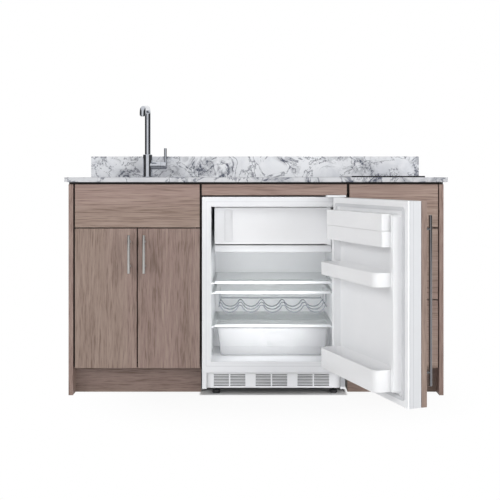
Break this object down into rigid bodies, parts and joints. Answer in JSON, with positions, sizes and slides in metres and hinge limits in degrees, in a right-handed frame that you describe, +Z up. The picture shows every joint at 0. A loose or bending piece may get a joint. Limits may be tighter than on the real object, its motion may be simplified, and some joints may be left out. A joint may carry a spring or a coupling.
{
  "type": "outdoor kitchen unit",
  "caption": "Outdoor kitchen run: stone worktop with sink, faucet and cooktop over a sink cabinet, an open built-in refrigerator and a drawer cabinet.",
  "frame": {"origin": "midpoint of the unit's width, on the floor, in the wall plane behind it", "axes": "+X to the right along the front, +Y towards the wall, +Z up; the fronts face -Y"},
  "size_m": [1.6, 1.217, 1.2569],
  "materials": {
    "laminate": "textured wood-grain laminate, matt",
    "toe_laminate": "textured laminate in shadow, matt",
    "board": "melamine-faced board",
    "marble": "polished pale stone with grey veins",
    "white_steel": "white enamelled skins over light foam, satin",
    "white_plastic": "white moulded plastic",
    "clear_plastic": "clear moulded plastic",
    "pane_glass": "clear toughened glass",
    "black_glass": "black ceramic glass, polished",
    "steel": "brushed stainless steel",
    "bright_steel": "polished chrome",
    "zinc": "zinc-plated steel",
    "black_plastic": "black moulded plastic",
    "grille_plastic": "pale grey moulded plastic",
    "black_paint": "black enamel",
    "rubber": "black rubber",
    "gasket": "pale flexible seal",
    "pipe_plastic": "white pipe plastic"
  },
  "bodies": {
    "cabinetry": {"worktop": "marble", "backsplash": "marble", "sub_deck": "board", "end_panels": "laminate", "carcass_sides": "board", "carcass_floors": "board", "carcass_backs": "board", "toe_boards": "toe_laminate", "cross_rails": "board", "sink_false_front": "laminate", "cooktop_front": "laminate", "bay_strip": "laminate", "hinge_arms": "zinc", "lower_drawer_front": "laminate", "middle_drawer_front": "laminate", "drawer_boxes": "board", "drawer_runners": "zinc", "drawer_handles": "steel", "sink_bowl": "steel", "drain_body": "steel", "p_trap": "pipe_plastic", "faucet_body": "bright_steel", "faucet_shank": "zinc", "cooktop_glass": "black_glass", "cooktop_casing": "black_plastic", "fridge_cabinet": "white_steel", "fridge_liner": "white_plastic", "compressor": "black_paint", "compressor_grommets": "rubber", "fridge_feet": "black_plastic", "kick_grille": "grille_plastic", "hinge_brackets": "zinc", "freezer_box": "white_plastic", "drip_ledge": "white_plastic", "shelf_panes": "pane_glass", "shelf_trims": "white_plastic", "wine_rack": "bright_steel", "thermostat_housing": "white_plastic"},
    "fridge_door": {"fridge_door_case": "white_steel", "fridge_door_liner": "white_plastic", "door_gasket": "gasket", "door_wood_panel": "laminate", "door_panel_handle": "steel", "door_bins": "white_plastic", "dairy_box": "white_plastic"},
    "dairy_lid": {"dairy_lid": "white_plastic"},
    "freezer_flap": {"freezer_flap": "white_plastic"},
    "crisper": {"crisper_drawer": "clear_plastic"},
    "thermostat_dial": {"thermostat_dial": "white_plastic"},
    "left_sink_door": {"left_sink_door": "laminate", "left_door_handle": "steel", "left_door_hinges": "zinc"},
    "right_sink_door": {"right_sink_door": "laminate", "right_door_handle": "steel", "right_door_hinges": "zinc"},
    "strainer_basket": {"strainer_basket": "steel"},
    "faucet_spout": {"faucet_spout": "bright_steel", "aerator": "bright_steel"},
    "faucet_cap": {"faucet_cap": "bright_steel"},
    "faucet_lever": {"faucet_lever": "bright_steel"}
  },
  "joints": [
    {"name": "fridge_door_hinge", "type": "hinge", "parent": "cabinetry", "child": "fridge_door", "pos_m": [0.359, -0.654, 0.467], "axis": [0, 0, 1], "range_deg": [-110, 10]},
    {"name": "dairy_lid_hinge", "type": "hinge", "parent": "fridge_door", "child": "dairy_lid", "pos_m": [0.41726, -0.93715, 0.7806], "axis": [-0.342, 0.9397, 0], "range_deg": [0, 75]},
    {"name": "freezer_flap_hinge", "type": "hinge", "parent": "cabinetry", "child": "freezer_flap", "pos_m": [0.3165, -0.5389, 0.7], "axis": [0, 0, 1], "range_deg": [0, 70]},
    {"name": "crisper_slide", "type": "slide", "parent": "cabinetry", "child": "crisper", "axis": [0, -1, 0], "range_m": [0, 0.18]},
    {"name": "thermostat_turn", "type": "hinge", "parent": "cabinetry", "child": "thermostat_dial", "pos_m": [0.31, -0.423, 0.5261], "axis": [-1, 0, 0], "range_deg": [0, 270]},
    {"name": "left_sink_door_hinge", "type": "hinge", "parent": "cabinetry", "child": "left_sink_door", "pos_m": [-0.7597, -0.613, 0.4], "axis": [0, 0, -1], "range_deg": [0, 105]},
    {"name": "right_sink_door_hinge", "type": "hinge", "parent": "cabinetry", "child": "right_sink_door", "pos_m": [-0.2367, -0.613, 0.4], "axis": [0, 0, 1], "range_deg": [0, 95]},
    {"name": "strainer_lift", "type": "slide", "parent": "cabinetry", "child": "strainer_basket", "axis": [0, 0, 1], "range_m": [0, 0.26]},
    {"name": "spout_swivel", "type": "hinge", "parent": "cabinetry", "child": "faucet_spout", "pos_m": [-0.516, -0.09, 1.0144], "axis": [0, 0, 1], "range_deg": [-90, 90]},
    {"name": "faucet_cap_turn", "type": "hinge", "parent": "cabinetry", "child": "faucet_cap", "pos_m": [-0.4532, -0.09, 0.9714], "axis": [1, 0, 0], "range_deg": [-40, 40]},
    {"name": "lever_tilt", "type": "hinge", "parent": "faucet_cap", "child": "faucet_lever", "pos_m": [-0.4311, -0.09, 0.9674], "axis": [0, 1, 0], "range_deg": [0, 20]}
  ]
}
